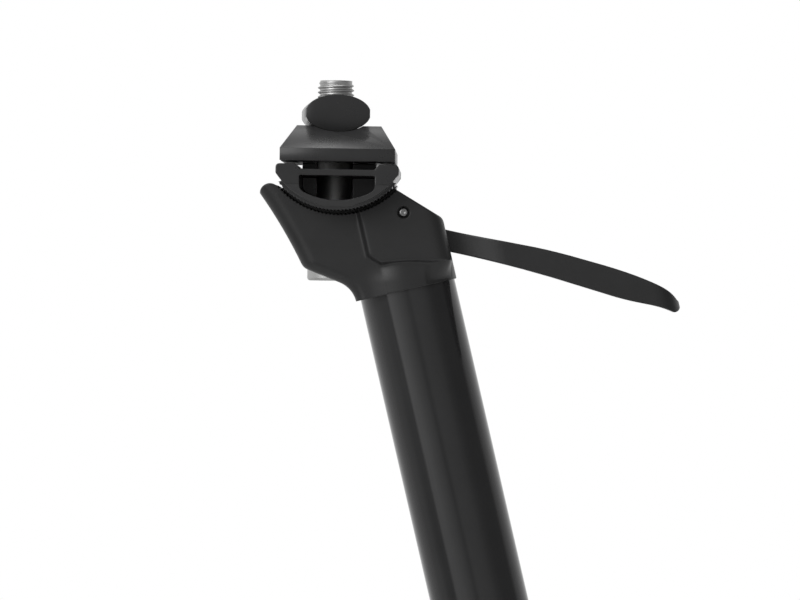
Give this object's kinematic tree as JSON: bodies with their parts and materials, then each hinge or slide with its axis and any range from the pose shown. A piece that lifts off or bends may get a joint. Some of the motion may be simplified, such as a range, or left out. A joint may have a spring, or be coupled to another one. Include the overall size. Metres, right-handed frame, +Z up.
{
  "type": "dropper seatpost",
  "caption": "Telescoping bicycle seatpost with a hydraulic drop, a lever under the saddle and a single-bolt tilting saddle rail clamp.",
  "frame": {"origin": "on the post's axis at the lower end of the outer tube", "axes": "+Z up the post's axis, +X forward to the lever, +Y to the rider's left"},
  "size_m": [0.1034, 0.054, 0.4113],
  "materials": {
    "black_anodised": "gloss black anodised, drawn along its length",
    "collar_anodised": "satin black anodised",
    "forged_black": "satin black over a shot-blasted forging",
    "lever_black": "satin black",
    "clamp_black": "satin black",
    "nut_black": "matt black oxide",
    "bolt_steel": "zinc-plated, satin",
    "pin_steel": "ground, dark",
    "rod_steel": "hard chrome",
    "turned_aluminium": "turned",
    "rubber_black": "matt",
    "seal_plastic": "smooth",
    "foam": "oiled open-cell foam",
    "bushing_plastic": "filled nylon",
    "key_brass": "milled"
  },
  "bodies": {
    "lower_post": {"lower_tube": "black_anodised", "collar": "collar_anodised", "collar_o_ring": "rubber_black", "wiper_seal": "rubber_black", "foam_ring": "foam", "upper_bushing": "bushing_plastic", "bottom_cap": "collar_anodised", "cap_o_ring": "rubber_black", "rod_end_nut": "pin_steel", "piston_rod": "rod_steel", "piston": "turned_aluminium", "piston_seal": "seal_plastic", "top_out_bumper": "rubber_black", "bottom_out_bumper": "rubber_black"},
    "upper_post": {"head": "forged_black", "stanchion": "black_anodised", "lower_bushing": "bushing_plastic", "guide_keys": "key_brass", "cartridge_retainer": "turned_aluminium", "cartridge_tube": "black_anodised", "cartridge_cylinder": "rod_steel", "rod_gland": "turned_aluminium", "rod_seal": "seal_plastic", "gland_o_ring": "rubber_black", "valve_body": "turned_aluminium", "valve_spring": "rod_steel", "shank_guide": "bushing_plastic", "lever_pin": "pin_steel"},
    "lever": {"lever": "lever_black"},
    "plunger": {"plunger_button": "rod_steel", "actuator_rod": "rod_steel", "valve_poppet": "turned_aluminium"},
    "floating_piston": {"floating_piston": "turned_aluminium"},
    "lower_clamp": {"cradle": "clamp_black", "curved_washer": "nut_black"},
    "clamp_bolt": {"clamp_bolt": "bolt_steel"},
    "upper_clamp": {"upper_clamp": "clamp_black"},
    "barrel_nut": {"barrel_nut": "nut_black"}
  },
  "joints": [
    {"name": "post_travel", "type": "slide", "parent": "lower_post", "child": "upper_post", "axis": [0, 0, 1], "range_m": [-0.1, 0], "stiffness_N_per_m": 400, "springref_m": 0.3},
    {"name": "lever_pull", "type": "hinge", "parent": "upper_post", "child": "lever", "pos_m": [0.0037, 0, 0.3684], "axis": [0, -1, 0], "range_deg": [0, 15], "stiffness_Nm_per_rad": 2, "springref_deg": -11.46},
    {"name": "plunger_press", "type": "slide", "parent": "upper_post", "child": "plunger", "axis": [0, 0, -1], "range_m": [0, 0.001], "deforming": ["valve_spring"]},
    {"name": "floating_piston_slide", "type": "slide", "parent": "upper_post", "child": "floating_piston", "axis": [0, 0, 1], "range_m": [-0.1205, 0]},
    {"name": "cradle_tilt", "type": "hinge", "parent": "upper_post", "child": "lower_clamp", "pos_m": [-0.0084, 0, 0.3927], "axis": [0, 1, 0], "range_deg": [-8, 12]},
    {"name": "bolt_turn", "type": "hinge", "parent": "lower_clamp", "child": "clamp_bolt", "pos_m": [-0.00966, 0, 0.39301], "axis": [-0.2402, 0, -0.9707], "range_deg": [0, 2190]},
    {"name": "upper_clamp_rise", "type": "slide", "parent": "lower_clamp", "child": "upper_clamp", "axis": [0.2402, 0, 0.9707], "range_m": [0, 0.0075]},
    {"name": "nut_rise", "type": "slide", "parent": "lower_clamp", "child": "barrel_nut", "axis": [0.2402, 0, 0.9707], "range_m": [0, 0.0076]}
  ],
  "couplings": [
    {"joint": "plunger_press", "follows": "lever_pull", "m_per_rad": 0.0037},
    {"joint": "floating_piston_slide", "follows": "post_travel", "ratio": 1.2012},
    {"joint": "bolt_turn", "follows": "upper_clamp_rise", "rad_per_m": 5026.5},
    {"joint": "nut_rise", "follows": "upper_clamp_rise", "ratio": 1}
  ]
}
